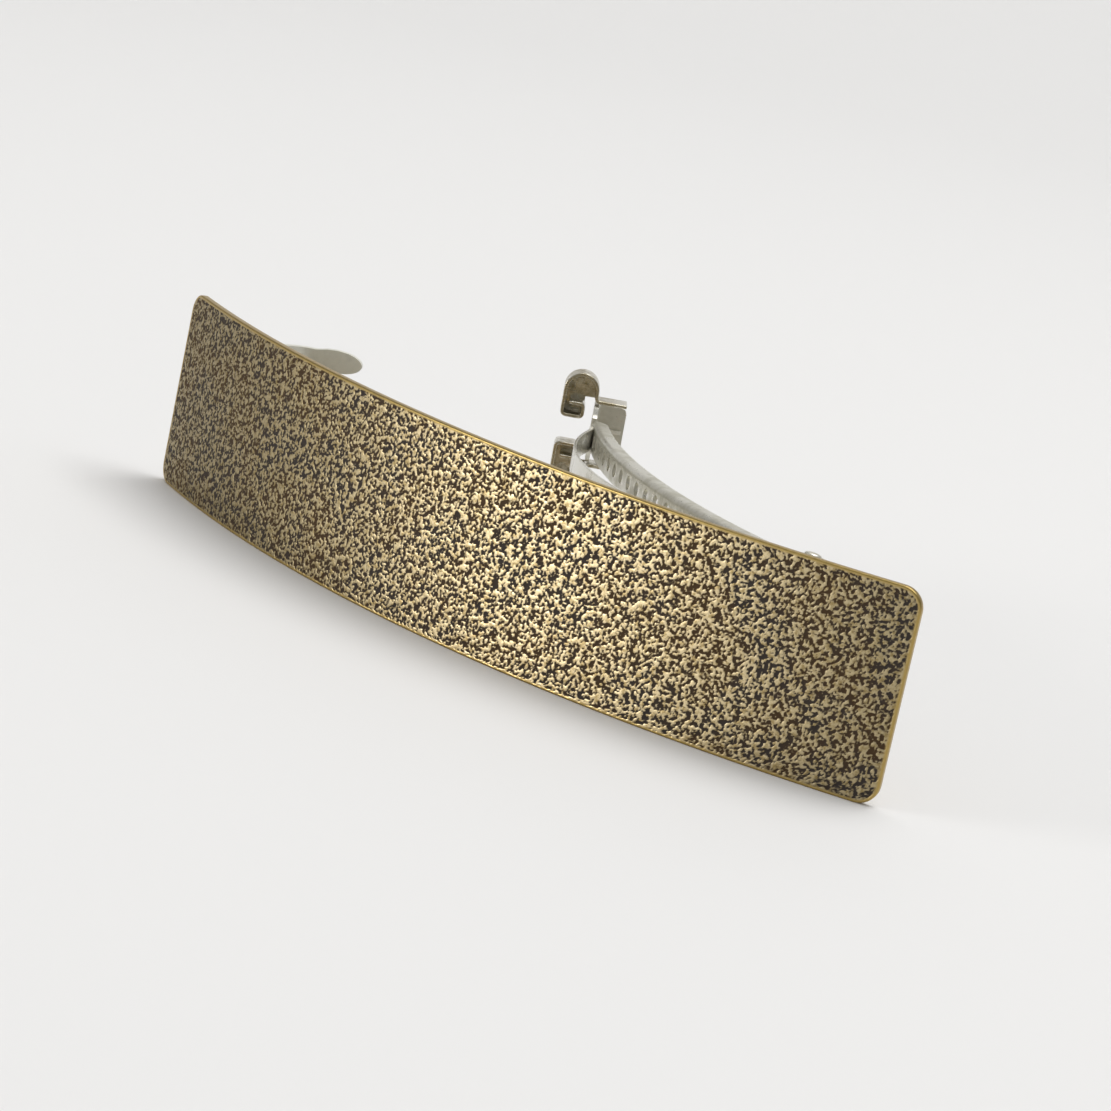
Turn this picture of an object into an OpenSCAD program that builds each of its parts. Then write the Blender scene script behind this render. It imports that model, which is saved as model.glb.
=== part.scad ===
// Barrette: a bent, textured brass plate with a hinged spring clip behind it.
// X runs along the plate, Y points back to the hair side, Z is up.
// The plate stands on its long lower edge; the clip is shown open.

/* [Face plate] */
// Length of the plate along its bend
plate_length = 100; // [90:1:110]
// Height of the plate
plate_height = 20; // [19:0.5:24]
// Thickness of the sheet
plate_thick = 0.8; // [0.6:0.1:1.2]
// Radius the sheet is bent to, at mid thickness
bend_radius = 129; // [120:1:150]
// Radius of the four corners
corner_radius = 2; // [1:0.25:4]

/* [Clip base] */
// Height of the clip's centre line above the lower edge
clip_height = 16.5; // [10:0.25:16.5]
// Width of the base strip
base_width = 5.2; // [5:0.1:5.4]
// Thickness of the clip's sheet metal
sheet = 0.7; // [0.6:0.05:0.8]
// Thickness of the two bonds between base and plate
bond_thick = 0.3; // [0.2:0.05:0.4]
// Length of each bond
bond_length = 20; // [12:1:24]

/* [Hinge] */
// Distance of the hinge pin from the middle, along the bend
hinge_along = 37.5; // [37:0.25:38]
// Lean of the hinge pin, which lets the open arm hang lower
pin_lean = 9; // [0:0.5:9]
// How far the arm stands open
open_angle = 23; // [20:0.5:40]
// Radius of the pin
pin_radius = 0.5; // [0.4:0.05:0.55]

/* [Arm] */
// Radius the arm is bent to
arm_radius = 130; // [115:1:140]
// Width of the arm
arm_width = 3.2; // [3.2:0.1:3.6]
// Thickness of the arm's web
arm_thick = 0.45; // [0.4:0.05:0.5]
// Depth of the arm's two side flanges
flange_depth = 1.0; // [0.6:0.1:1.2]
// Spacing of the row of holes
hole_pitch = 3.1; // [2.8:0.1:3.6]
// Radius of the holes in the row
hole_radius = 0.7; // [0.5:0.05:0.8]
// How far the tension bow stands off the arm
bow_rise = 4.6; // [3:0.1:4.8]

/* [Clasp] */
// Half the gap between the jaws' lips
lip_gap = 1.35; // [1.35:0.05:1.5]
// Length of the jaws along the arm
jaw_length = 3.6; // [3:0.1:3.8]
// Thickness of the jaws' sheet
jaw_sheet = 0.35; // [0.3:0.05:0.35]
// Half the width of the tongue's head
tongue_half = 1.15; // [0.9:0.05:1.15]

/* [Hidden] */
$fn = 64;

back = plate_thick / 2;
base_in = back + bond_thick;
base_mid = base_in + sheet / 2;
base_out = base_in + sheet;
hinge_rise = base_out + 2.2;
ear_gap = arm_width / 2 + 0.4;
barrel_radius = pin_radius + 0.65;
tongue_along = -39.3;
tip_along = -41;
tip_rise = 14.6;

function turn(s) = s / bend_radius * 180 / PI;
function on_bend(s, h) = [(bend_radius - h) * sin(turn(s)), bend_radius - (bend_radius - h) * cos(turn(s))];

hinge_xy = on_bend(hinge_along, hinge_rise);
tip_xy = on_bend(tip_along, tip_rise);
arm_turn = atan2(tip_xy[1] - hinge_xy[1], tip_xy[0] - hinge_xy[0]);
arm_reach = norm(tip_xy - hinge_xy);
strip_drop = barrel_radius - arm_thick / 2 - 0.05;
strip_tilt = atan(strip_drop / arm_reach);
strip_chord = norm([arm_reach, strip_drop]);
strip_half = asin(strip_chord / 2 / arm_radius);
axis_x = sin(arm_turn) * sin(pin_lean);
axis_y = -cos(arm_turn) * sin(pin_lean);
axis_z = cos(pin_lean);

bow_thick = 0.3;
bow_width = 2.4;
pad_radius = arm_radius + arm_thick / 2 + bow_thick / 2;
rivet_x = strip_chord / 2 - 6.4;
bow_x = strip_chord / 2 - 8.2;
pad_y = sqrt(pad_radius * pad_radius - bow_x * bow_x) - arm_radius * cos(strip_half);
bow_sag = pad_radius - sqrt(pad_radius * pad_radius - bow_x * bow_x) + bow_rise;
bow_radius = (bow_x * bow_x + bow_sag * bow_sag) / 2 / bow_sag;
bow_half = asin(bow_x / bow_radius);

// A piece of a ring about the origin, centred on Z = 0.
module ring_piece(radius, thick, high, from, to) {
  rotate([0, 0, from])
    rotate_extrude(angle = to - from, $fn = 360)
      translate([radius - thick / 2, -high / 2])
        square([thick, high]);
}

// A strip that follows the plate's bend, between two places along it.
module bent_strip(s0, s1, h0, h1, high) {
  translate([0, bend_radius, 0])
    ring_piece(bend_radius - (h0 + h1) / 2, h1 - h0, high, -90 + turn(s0), -90 + turn(s1));
}

// A frame that stands on the bend: X along it, Y away from the plate.
module at_bend(s) {
  translate([on_bend(s, 0)[0], on_bend(s, 0)[1], 0])
    rotate([0, 0, turn(s)])
      children();
}

// The arm's own frame: X towards the tip, Y towards the plate.
module arm_frame() {
  translate([hinge_xy[0], hinge_xy[1], clip_height])
    rotate(a = -open_angle, v = [axis_x, axis_y, axis_z])
      rotate([0, 0, arm_turn])
        children();
}

// The frame of the arm's bent strip: X along its chord from the barrel.
module strip_frame() {
  arm_frame()
    translate([0, -strip_drop, 0])
      rotate([0, 0, strip_tilt])
        children();
}

// The frame at the strip's end: X on along the strip, Y towards the plate.
module tip_frame() {
  strip_frame()
    translate([strip_chord, 0, 0])
      rotate([0, 0, -strip_half])
        children();
}

// Places its children on the strip, x along the chord, Y pointing at the plate.
module on_strip(x) {
  translate([strip_chord / 2, -arm_radius * cos(strip_half), 0])
    rotate([0, 0, -asin((x - strip_chord / 2) / arm_radius)])
      translate([0, arm_radius, 0])
        children();
}

// What a round corner leaves over, seen along the sheet's thickness.
module corner_waste(r) {
  rotate([90, 0, 0])
    linear_extrude(height = 6, center = true)
      difference() {
        translate([-r, -1])
          square([r + 1, r + 1]);
        translate([-r, r])
          circle(r = r + 0.02);
      }
}

// The brass plate: one bent strip with its four corners rounded.
module face_plate() {
  color([0.70, 0.56, 0.30])
    difference() {
      translate([0, 0, plate_height / 2])
        bent_strip(-plate_length / 2, plate_length / 2, -back, back, plate_height);
      for (side = [-1, 1])
        at_bend(side * plate_length / 2)
          rotate([0, 0, side < 0 ? 180 : 0]) {
            corner_waste(corner_radius);
            translate([0, 0, plate_height])
              mirror([0, 0, 1])
                corner_waste(corner_radius);
          }
    }
}

module bond(s0, s1) {
  color([0.62, 0.60, 0.54])
    translate([0, 0, clip_height])
      bent_strip(s0, s1, back, base_in, base_width - 1);
}

module bond_left() {
  bond(-14 - bond_length, -14);
}

module bond_right() {
  bond(12, 12 + bond_length);
}

// The catch: a neck bent up from the strip's end, with a rounded head.
module tongue() {
  lean = 35;
  neck = 0.8;
  at_bend(tongue_along) {
    translate([-1, base_mid + 1, 0])
      ring_piece(1, sheet, 2 * neck, 180, 270);
    translate([-2 - sheet / 2, base_mid + 1, -neck])
      cube([sheet, 7.3 - base_mid, 2 * neck]);
    translate([1, base_mid + 1 + 7.3 - base_mid, 0])
      ring_piece(3, sheet, 2 * neck, 180 - lean, 180);
    translate([1, 8.3, 0])
      rotate([0, 0, 180 - lean])
        translate([3 - sheet / 2, 0, 0])
          rotate([0, 90, 0])
            linear_extrude(height = sheet)
              tongue_outline(neck);
  }
}

module tongue_outline(neck) {
  scale_w = tongue_half / 1.15;
  translate([-neck, -2.2])
    square([2 * neck, 2.6]);
  translate([0, -1.4])
    circle(r = 1.05 * scale_w);
  translate([0, -2.5])
    circle(r = tongue_half);
  translate([0, -4.1])
    circle(r = 0.95 * scale_w);
  polygon([[-tongue_half, -2.5], [tongue_half, -2.5], [0.93 * scale_w, -4.25], [-0.93 * scale_w, -4.25]]);
  translate([-tongue_half, -2.5])
    square([2 * tongue_half, 0.8]);
}

module ear(side) {
  z = clip_height + side * (ear_gap + 0.25) - 0.25;
  translate([0, 0, z])
    at_bend(hinge_along) {
      translate([-1.4, base_mid, 0])
        cube([2.8, hinge_rise - base_mid, 0.5]);
      translate([0, hinge_rise, 0])
        cylinder(r = 1.4, h = 0.5);
    }
}

// One sheet: strip, two ears and the tongue.
module clip_base() {
  color([0.66, 0.65, 0.60])
    difference() {
      union() {
        translate([0, 0, clip_height])
          bent_strip(-38.2, 40.2, base_in, base_out, base_width);
        translate([0, 0, clip_height])
          bent_strip(-40.5, -38, base_in, base_out, 1.6);
        translate([0, 0, clip_height])
          tongue();
        ear(-1);
        ear(1);
      }
      for (s = [-36.6, -34.0, 30.4, 33.0])
        translate([0, 0, clip_height])
          at_bend(s)
            rotate([-90, 0, 0])
              cylinder(r = 0.65, h = 4);
      translate([hinge_xy[0], hinge_xy[1], clip_height])
        pin_way()
          cylinder(r = pin_radius, h = 9, center = true);
    }
}

module pin_way() {
  rotate([0, 0, arm_turn])
    rotate([pin_lean, 0, 0])
      children();
}

module hinge_pin() {
  out = ear_gap + 0.5;
  color([0.60, 0.59, 0.55])
    translate([hinge_xy[0], hinge_xy[1], clip_height])
      pin_way() {
        cylinder(r = pin_radius, h = 2 * out + 0.3, center = true);
        for (side = [-1, 1])
          translate([0, 0, side * (out + 0.2) - 0.15])
            cylinder(r = pin_radius + 0.3, h = 0.3);
      }
}

// The strip as a channel: a web with two flanges turned outwards.
module arm_strip() {
  w = arm_width / 2;
  translate([strip_chord / 2, -arm_radius * cos(strip_half), 0]) {
    ring_piece(arm_radius, arm_thick, arm_width, 90 - strip_half, 90 + strip_half);
    for (side = [-1, 1])
      translate([0, 0, side * (w - 0.2)])
        ring_piece(arm_radius - arm_thick / 2 - flange_depth / 2 + 0.1, flange_depth + 0.2, 0.4,
                   90 - strip_half + 2.2, 90 + strip_half - 1.6);
  }
}

// The widened end: a plate and a thumb tab. The slot for the tongue is cut later.
module arm_end() {
  translate([-4.8, -arm_thick / 2, -3])
    cube([5.0, arm_thick, 6]);
  translate([-0.25, -3.3, -2.6])
    cube([0.45, 3.3, 5.2]);
  translate([-0.65, -3.0, -0.2])
    cube([0.5, 2.5, 0.4]);
}

module clasp_arm() {
  count = floor((strip_chord - 18) / hole_pitch);
  color([0.66, 0.65, 0.60])
    difference() {
      union() {
        arm_frame()
          rotate([pin_lean, 0, 0])
            cylinder(r = barrel_radius, h = arm_width, center = true);
        strip_frame()
          arm_strip();
        tip_frame()
          arm_end();
      }
      arm_frame()
        rotate([pin_lean, 0, 0])
          cylinder(r = pin_radius + 0.05, h = 9, center = true);
      tip_frame()
        translate([-4.1, -1, -1.55])
          cube([3.5, 2, 3.1]);
      strip_frame() {
        for (i = [0 : count])
          on_strip(strip_chord / 2 + (i - count / 2) * hole_pitch)
            rotate([90, 0, 0])
              cylinder(r = hole_radius, h = 1.2, center = true, $fn = 32);
        for (side = [-1, 1])
          on_strip(strip_chord / 2 + side * rivet_x)
            rotate([90, 0, 0])
              cylinder(r = 0.4, h = 1.2, center = true, $fn = 32);
      }
    }
}

// A thin bowed strip; its two flat ends lie on the arm.
module tension_bow() {
  pad_half = asin((rivet_x + 1.4) / pad_radius);
  pad_inner = asin((bow_x - 0.1) / pad_radius);
  color([0.68, 0.67, 0.62])
    strip_frame()
      difference() {
        union() {
          translate([strip_chord / 2, pad_y + bow_sag - bow_radius, 0])
            ring_piece(bow_radius, bow_thick, bow_width, 90 - bow_half, 90 + bow_half);
          translate([strip_chord / 2, -arm_radius * cos(strip_half), 0]) {
            ring_piece(pad_radius, bow_thick, bow_width, 90 - pad_half, 90 - pad_inner);
            ring_piece(pad_radius, bow_thick, bow_width, 90 + pad_inner, 90 + pad_half);
          }
        }
        for (side = [-1, 1])
          on_strip(strip_chord / 2 + side * rivet_x)
            rotate([90, 0, 0])
              cylinder(r = 0.4, h = 2, center = true, $fn = 32);
      }
}

module bow_rivet(side) {
  inner = arm_thick / 2 + bow_thick;
  color([0.60, 0.59, 0.55])
    strip_frame()
      on_strip(strip_chord / 2 + side * rivet_x) {
        translate([0, -arm_thick / 2 - 0.25, 0])
          rotate([-90, 0, 0])
            cylinder(r = 0.4, h = arm_thick + bow_thick + 0.5, $fn = 32);
        translate([0, inner, 0])
          rotate([-90, 0, 0])
            cylinder(r = 0.8, h = 0.25, $fn = 32);
        translate([0, -arm_thick / 2 - 0.25, 0])
          rotate([-90, 0, 0])
            cylinder(r = 0.8, h = 0.25, $fn = 32);
      }
}

module bow_rivet_hinge() {
  bow_rivet(-1);
}

module bow_rivet_tip() {
  bow_rivet(1);
}

// One jaw: finger pad, rounded loop, a lip folded back on itself, and an end
// wall on the tip side. A bead runs along the bend line that the jaw turns on.
module jaw() {
  t = jaw_sheet;
  low = 3.2;
  loop_r = 1.85;
  loop_v = 4.3;
  lip = lip_gap;
  translate([-0.9 - jaw_length, 0, 0]) {
    translate([0, 0, low])
      rotate([0, 90, 0])
        cylinder(r = 0.18, h = jaw_length, $fn = 32);
    translate([0, -3.1, low])
      cube([jaw_length, 3.1 + t, t]);
    translate([0, 0, low])
      cube([jaw_length, t, loop_v - low]);
    translate([0, loop_r, loop_v])
      rotate([0, 90, 0])
        rotate([0, 0, 90])
          translate([0, 0, jaw_length / 2])
            ring_piece(loop_r - t / 2, t, jaw_length, 0, 180);
    translate([0, 2 * loop_r - t, lip])
      cube([jaw_length, t, loop_v - lip]);
    translate([0, 1.2, lip])
      cube([jaw_length, 2 * loop_r - 1.2, t]);
    translate([0, 1.2, lip])
      cube([jaw_length, t, 3.05 - lip]);
    translate([0, 1.2, 3.05 - t])
      cube([jaw_length, 1.7, t]);
    translate([jaw_length - t, 0, 0]) {
      translate([0, 1.2, lip])
        cube([t, 2 * loop_r - 1.2, 3.5 - lip]);
      translate([0, 0.1, low + 0.1])
        cube([t, 2 * loop_r - 0.2, loop_v - low]);
      translate([0, loop_r, loop_v])
        rotate([0, 90, 0])
          cylinder(r = loop_r - 0.1, h = t);
    }
  }
}

module jaw_upper() {
  color([0.66, 0.65, 0.60])
    tip_frame()
      jaw();
}

module jaw_lower() {
  color([0.66, 0.65, 0.60])
    tip_frame()
      mirror([0, 0, 1])
        jaw();
}

face_plate();
bond_left();
bond_right();
clip_base();
hinge_pin();
clasp_arm();
tension_bow();
bow_rivet_hinge();
bow_rivet_tip();
jaw_upper();
jaw_lower();
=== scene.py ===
"""A barrette: a bent, textured brass plate with a hinged spring clip behind it.

Lengths in the classes are in millimetres, and meshes are made in metres. X runs
along the plate, Y points from the plate to the clip, and Z is up.
"""

import logging
import math
from dataclasses import dataclass, field
from enum import Enum
from typing import Callable, Sequence

import bmesh
import bpy
import numpy as np
from mathutils import Matrix, Vector


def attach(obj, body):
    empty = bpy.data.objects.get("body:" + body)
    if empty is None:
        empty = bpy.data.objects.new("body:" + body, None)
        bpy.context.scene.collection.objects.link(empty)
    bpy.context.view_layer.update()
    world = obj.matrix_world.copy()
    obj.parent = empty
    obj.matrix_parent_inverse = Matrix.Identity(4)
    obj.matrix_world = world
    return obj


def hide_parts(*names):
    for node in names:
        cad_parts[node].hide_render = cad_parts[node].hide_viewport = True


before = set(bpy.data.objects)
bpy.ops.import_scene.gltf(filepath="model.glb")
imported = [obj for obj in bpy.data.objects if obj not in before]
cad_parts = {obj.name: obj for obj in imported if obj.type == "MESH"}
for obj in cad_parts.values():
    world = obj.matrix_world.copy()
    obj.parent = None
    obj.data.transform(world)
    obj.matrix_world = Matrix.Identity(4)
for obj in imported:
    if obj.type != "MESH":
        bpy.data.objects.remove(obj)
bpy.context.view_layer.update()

LOG = logging.getLogger("barrette")
MM = 0.001
MIX_INPUTS, MIX_OUTPUT = (0, 6, 7), 2  # a Mix node's factor and its colour sockets
Colour = tuple[float, float, float]
Triple = tuple[float, float, float]
Points = np.ndarray
Faces = list[tuple[int, ...]]
Shell = tuple[Points, Faces]
Outline = Sequence[tuple[float, float]]
Socket = bpy.types.NodeSocket
Node = bpy.types.Node


class Body(Enum):
    """The moving bodies that a piece can ride on."""

    HOLDER = "holder"
    ARM = "arm"
    UPPER_JAW = "upper_jaw"
    LOWER_JAW = "lower_jaw"


class Slot(Enum):
    """The record's material slots."""

    BRASS = "antique_brass"
    STEEL = "clip_steel"
    BOND = "bond"


# ---------------------------------------------------------------- small maths


def smooth(low: float, high: float, x: Points) -> Points:
    """A soft step from 0 at the low value to 1 at the high one."""
    t = np.clip((x - low) / (high - low), 0.0, 1.0)
    return t * t * (3.0 - 2.0 * t)


def fillet(points: Sequence[Sequence[float]], radius: float, steps: int = 6) -> Points:
    """Rounds the corners of a path.

    Args:
        points: Corner points of an open path in a plane.
        radius: Distance from a corner at which its curve starts.
        steps: Points per corner.

    Returns:
        The points of the rounded path.
    """
    path = np.asarray(points, float)
    made = [path[0]]
    for before, here, after in zip(path[:-2], path[1:-1], path[2:]):
        reach = min(
            radius,
            0.49 * np.linalg.norm(before - here),
            0.49 * np.linalg.norm(after - here),
        )
        start = here + (before - here) / np.linalg.norm(before - here) * reach
        end = here + (after - here) / np.linalg.norm(after - here) * reach
        for t in np.linspace(0.0, 1.0, steps):
            made.append((1 - t) ** 2 * start + 2 * t * (1 - t) * here + t * t * end)
    made.append(path[-1])
    return np.array(made)


@dataclass(frozen=True)
class Bend:
    """The circle that the plate and the clip's base follow."""

    radius: float = 129.0

    def place(self, along: Points, out: Points, up: Points) -> Points:
        """Puts points on the bend.

        Args:
            along: Distance from the middle, along the bend.
            out: Distance from the plate's mid thickness towards the clip.
            up: Height above the lower edge.

        Returns:
            Positions in the row frame, in millimetres.
        """
        angle = np.asarray(along, float) / self.radius
        reach = self.radius - np.asarray(out, float)
        x, y = reach * np.sin(angle), self.radius - reach * np.cos(angle)
        return np.stack(np.broadcast_arrays(x, y, np.asarray(up, float)), axis=-1)


@dataclass(frozen=True)
class ClipLayout:
    """Where the hinge and the open arm stand.

    The arm turns about a pin that leans a little, and the strip bends away
    from the barrel to its tip.
    """

    bend: Bend = Bend()
    height: float = 16.5
    hinge_along: float = 37.5
    hinge_out: float = 3.6
    tip_along: float = -41.0
    tip_out: float = 14.6
    lean: float = 9.0
    open_angle: float = 23.0
    arm_radius: float = 130.0
    strip_drop: float = 0.875

    def hinge(self) -> Vector:
        """The middle of the pin."""
        return Vector(self.bend.place(self.hinge_along, self.hinge_out, self.height))

    def heading(self) -> tuple[float, float]:
        """Where the shut arm points.

        Returns:
            Its direction in radians, and its length from the pin to the tip.
        """
        tip = Vector(self.bend.place(self.tip_along, self.tip_out, self.height))
        way = tip - self.hinge()
        return math.atan2(way.y, way.x), math.hypot(way.x, way.y)

    def pin_axis(self) -> Vector:
        """The direction of the pin.

        Returns:
            A unit vector that points up.
        """
        turn, lean = self.heading()[0], math.radians(self.lean)
        tilt = math.sin(lean)
        return Vector((math.sin(turn) * tilt, -math.cos(turn) * tilt, math.cos(lean)))

    def chord(self) -> float:
        """The straight length of the bent strip."""
        return math.hypot(self.heading()[1], self.strip_drop)

    def half_angle(self) -> float:
        """Half the angle that the strip bends through."""
        return math.asin(self.chord() / 2.0 / self.arm_radius)

    def arm(self) -> Matrix:
        """The open arm's frame.

        Returns:
            A frame at the pin, X towards the tip and Y towards the plate.
        """
        swing = Matrix.Rotation(-math.radians(self.open_angle), 4, self.pin_axis())
        turn = Matrix.Rotation(self.heading()[0], 4, "Z")
        return Matrix.Translation(self.hinge()) @ swing @ turn

    def strip(self) -> Matrix:
        """The bent strip's frame.

        Returns:
            A frame at the barrel, X along the strip's chord.
        """
        tilt = math.atan(self.strip_drop / self.heading()[1])
        step = Matrix.Translation((0.0, -self.strip_drop, 0.0))
        return self.arm() @ step @ Matrix.Rotation(tilt, 4, "Z")

    def tip(self) -> Matrix:
        """The frame at the strip's end, X on along it and Y towards the plate."""
        step = Matrix.Translation((self.chord(), 0.0, 0.0))
        return self.strip() @ step @ Matrix.Rotation(-self.half_angle(), 4, "Z")

    def on_strip(self, x: float) -> Matrix:
        """A frame on the strip, a distance along its chord.

        Args:
            x: Distance from the barrel along the chord.

        Returns:
            A frame whose Y points at the plate.
        """
        half = self.chord() / 2.0
        low = Matrix.Translation((half, -self.arm_radius * math.cos(self.half_angle()), 0.0))
        turn = Matrix.Rotation(-math.asin((x - half) / self.arm_radius), 4, "Z")
        return self.strip() @ low @ turn @ Matrix.Translation((0.0, self.arm_radius, 0.0))


# ------------------------------------------------------------- node building


@dataclass
class Wiring:
    """Short ways to add and join the nodes of one tree."""

    tree: bpy.types.NodeTree

    def add(self, kind: str, **settings: object) -> Node:
        """Adds a node.

        Args:
            kind: The node's type, without the ShaderNode at its front.
            settings: Properties to set on it.

        Returns:
            The new node.
        """
        node = self.tree.nodes.new("ShaderNode" + kind)
        for name, value in settings.items():
            setattr(node, name, value)
        return node

    def join(self, source: Socket, target: Socket) -> None:
        """Links two sockets."""
        self.tree.links.new(source, target)

    def feed(self, target: Socket, value: object) -> None:
        """Links a socket, or sets a plain value.

        Args:
            target: The socket to fill.
            value: Another socket, a number or a colour.
        """
        if isinstance(value, Socket):
            self.join(value, target)
        else:
            target.default_value = value

    def maths(self, operation: str, *values: object) -> Socket:
        """A sum on numbers.

        Args:
            operation: The operation's name.
            values: Sockets or numbers.

        Returns:
            The result's socket.
        """
        node = self.add("Math", operation=operation)
        for socket, value in zip(node.inputs, values):
            self.feed(socket, value)
        return node.outputs[0]

    def ramp(
        self, value: object, low: float, high: float, to: tuple[float, float] = (0.0, 1.0)
    ) -> Socket:
        """A soft step from one number to another.

        Args:
            value: The number that passes through.
            low: Where the step starts.
            high: Where it ends.
            to: The two results.

        Returns:
            The result's socket.
        """
        node = self.add("MapRange", interpolation_type="SMOOTHSTEP")
        self.feed(node.inputs["Value"], value)
        for name, number in zip(("From Min", "From Max", "To Min", "To Max"), (low, high, *to)):
            node.inputs[name].default_value = number
        return node.outputs["Result"]

    def mix(self, share: object, first: object, second: object) -> Socket:
        """A mix of two colours.

        Args:
            share: How much of the second colour.
            first: Colour or socket.
            second: Colour or socket.

        Returns:
            The colour's socket.
        """
        node = self.add("Mix", data_type="RGBA")
        factor, colour_a, colour_b = (node.inputs[k] for k in MIX_INPUTS)
        self.feed(factor, share)
        for socket, value in ((colour_a, first), (colour_b, second)):
            self.feed(socket, (*value, 1.0) if isinstance(value, tuple) else value)
        return node.outputs[MIX_OUTPUT]

    def noise(self, place: object, scale: float, detail: float, rough: float) -> Socket:
        """Cloudy noise.

        Args:
            place: The coordinates' socket.
            scale: Waves per metre.
            detail: Number of finer layers.
            rough: Strength of the finer layers.

        Returns:
            The noise's socket, about 0.5 on average.
        """
        node = self.add("TexNoise")
        self.feed(node.inputs["Vector"], place)
        node.inputs["Scale"].default_value = scale
        node.inputs["Detail"].default_value = detail
        node.inputs["Roughness"].default_value = rough
        return node.outputs["Fac"]


@dataclass(frozen=True)
class Effect:
    """A surface effect that several finishes share, kept as one node group."""

    name: str
    inputs: dict[str, float]
    outputs: tuple[str, ...]
    wire: Callable[[Wiring, Node], dict[str, Socket]]

    def group(self) -> bpy.types.NodeTree:
        """Builds the group, or gives the one that is there.

        Returns:
            The group's node tree.
        """
        made = bpy.data.node_groups.get(self.name)
        if made:
            return made
        made = bpy.data.node_groups.new(self.name, "ShaderNodeTree")
        for name, value in self.inputs.items():
            socket = made.interface.new_socket(name, in_out="INPUT", socket_type="NodeSocketFloat")
            socket.default_value = value
        for name in self.outputs:
            made.interface.new_socket(name, in_out="OUTPUT", socket_type="NodeSocketFloat")
        wiring = Wiring(made)
        start = made.nodes.new("NodeGroupInput")
        end = made.nodes.new("NodeGroupOutput")
        for name, socket in self.wire(wiring, start).items():
            wiring.join(socket, end.inputs[name])
        return made

    def place(self, wiring: Wiring, **values: object) -> Node:
        """Puts the group into a material.

        Args:
            wiring: The material's wiring.
            values: Values for the group's inputs, by name.

        Returns:
            The group's node.
        """
        node = wiring.add("Group")
        node.node_tree = self.group()
        for name, value in values.items():
            wiring.feed(node.inputs[name], value)
        return node


def scaled_place(wiring: Wiring, scale: object, stretch: Triple = (1.0, 1.0, 1.0)) -> Socket:
    """Object coordinates times a scale.

    Args:
        wiring: The group's wiring.
        scale: Waves per metre.
        stretch: Scale of each axis, to draw the noise out.

    Returns:
        The coordinates' socket.
    """
    spot = wiring.add("TexCoord").outputs["Object"]
    drawn = wiring.add("VectorMath", operation="MULTIPLY")
    wiring.join(spot, drawn.inputs[0])
    drawn.inputs[1].default_value = stretch
    node = wiring.add("VectorMath", operation="SCALE")
    wiring.join(drawn.outputs[0], node.inputs[0])
    wiring.feed(node.inputs["Scale"], scale)
    return node.outputs[0]


def wire_clouds(wiring: Wiring, start: Node) -> dict[str, Socket]:
    """Broad soft patches of tarnish with ragged rims.

    Args:
        wiring: The group's wiring.
        start: The group's input node.

    Returns:
        The sockets for Mask, by name.
    """
    place = scaled_place(wiring, start.outputs["Scale"])
    broad = wiring.noise(place, 1.0, 3.0, 0.6)
    fine = wiring.noise(place, 6.0, 2.0, 0.5)
    both = wiring.maths("MULTIPLY_ADD", fine, 0.25, broad)
    more = wiring.maths("MULTIPLY_ADD", start.outputs["Cover"], 0.5, -0.25)
    shifted = wiring.maths("ADD", both, more)
    return {"Mask": wiring.ramp(shifted, 0.5, 0.78)}


def wire_grain(wiring: Wiring, start: Node) -> dict[str, Socket]:
    """Fine grain of rolled metal: tiny pits and drawn-out hairlines.

    Args:
        wiring: The group's wiring.
        start: The group's input node.

    Returns:
        The sockets for Height and Rub, by name.
    """
    scale, drawn = start.outputs["Scale"], (0.12, 0.12, 1.6)
    pits = wiring.noise(scaled_place(wiring, scale), 1.0, 3.0, 0.6)
    lines = wiring.noise(scaled_place(wiring, scale, drawn), 1.0, 2.0, 0.5)
    both = wiring.maths("MULTIPLY_ADD", lines, start.outputs["Lines"], pits)
    return {"Height": both, "Rub": wiring.ramp(both, 0.35, 1.2)}


def wire_wear(wiring: Wiring, start: Node) -> dict[str, Socket]:
    """Where handling wears the finish: raised edges, broken up by noise; and the hollows, which are
    made darker.

    Args:
        wiring: The group's wiring.
        start: The group's input node.

    Returns:
        The sockets for Wear and Hollows, by name.
    """
    edge = wiring.add("NewGeometry").outputs["Pointiness"]
    rubbed = wiring.ramp(edge, 0.505, 0.56)
    broken = wiring.noise(scaled_place(wiring, start.outputs["Scale"]), 1.0, 3.0, 0.6)
    mask = wiring.maths("MULTIPLY", rubbed, wiring.ramp(broken, 0.3, 0.6))
    # Hollows, from pointiness; the finish mixes a darker tone into them.
    hollow = wiring.ramp(edge, 0.495, 0.44)
    return {"Wear": wiring.maths("MULTIPLY", mask, start.outputs["Amount"]), "Dirt": hollow}


CLOUDS = Effect("tarnish_clouds", {"Scale": 150.0, "Cover": 0.5}, ("Mask",), wire_clouds)
GRAIN = Effect("rolled_grain", {"Scale": 9000.0, "Lines": 0.6}, ("Height", "Rub"), wire_grain)
WEAR = Effect("edge_wear", {"Scale": 1500.0, "Amount": 1.0}, ("Wear", "Dirt"), wire_wear)


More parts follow.
